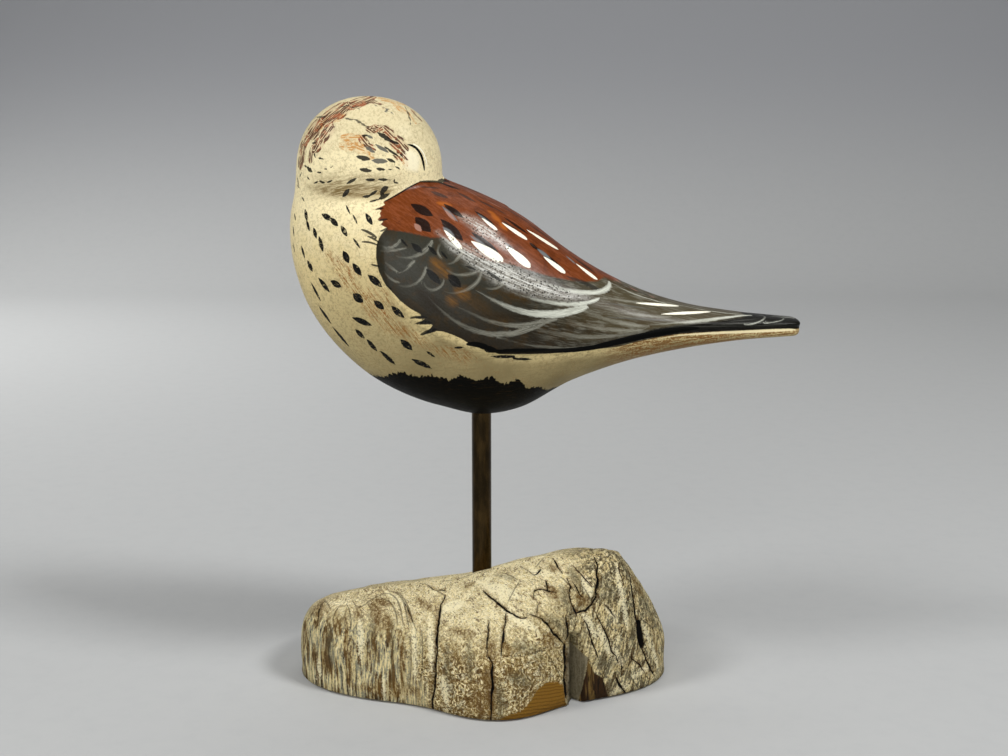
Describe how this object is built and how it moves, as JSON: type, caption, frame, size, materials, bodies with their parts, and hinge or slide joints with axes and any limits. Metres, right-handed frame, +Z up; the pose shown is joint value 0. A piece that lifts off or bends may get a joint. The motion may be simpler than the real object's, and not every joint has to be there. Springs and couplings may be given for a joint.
{
  "type": "shorebird decoy",
  "caption": "Carved and painted wooden shorebird, asleep with its head turned back and bill tucked, on a round brass post in a chunk of driftwood.",
  "frame": {"origin": "on the flat underside of the driftwood base, under the axis of the post", "axes": "+Z up along the post, +X from the breast to the tail, +Y from the bird's right side, which the picture shows, to its left side"},
  "size_m": [0.1621, 0.0777, 0.1891],
  "materials": {
    "painted_wood": "carved wood, oil paint in cream, chestnut, grey and black, satin and rubbed, with fine crackle",
    "patinated_brass": "dark brown patinated round rod, polished enough to mirror what is near",
    "driftwood": "bleached, weathered driftwood with drying cracks, brown mottling and curly grain"
  },
  "bodies": {
    "root": {"bird": "painted_wood", "post": "patinated_brass", "driftwood_base": "driftwood"}
  },
  "joints": []
}
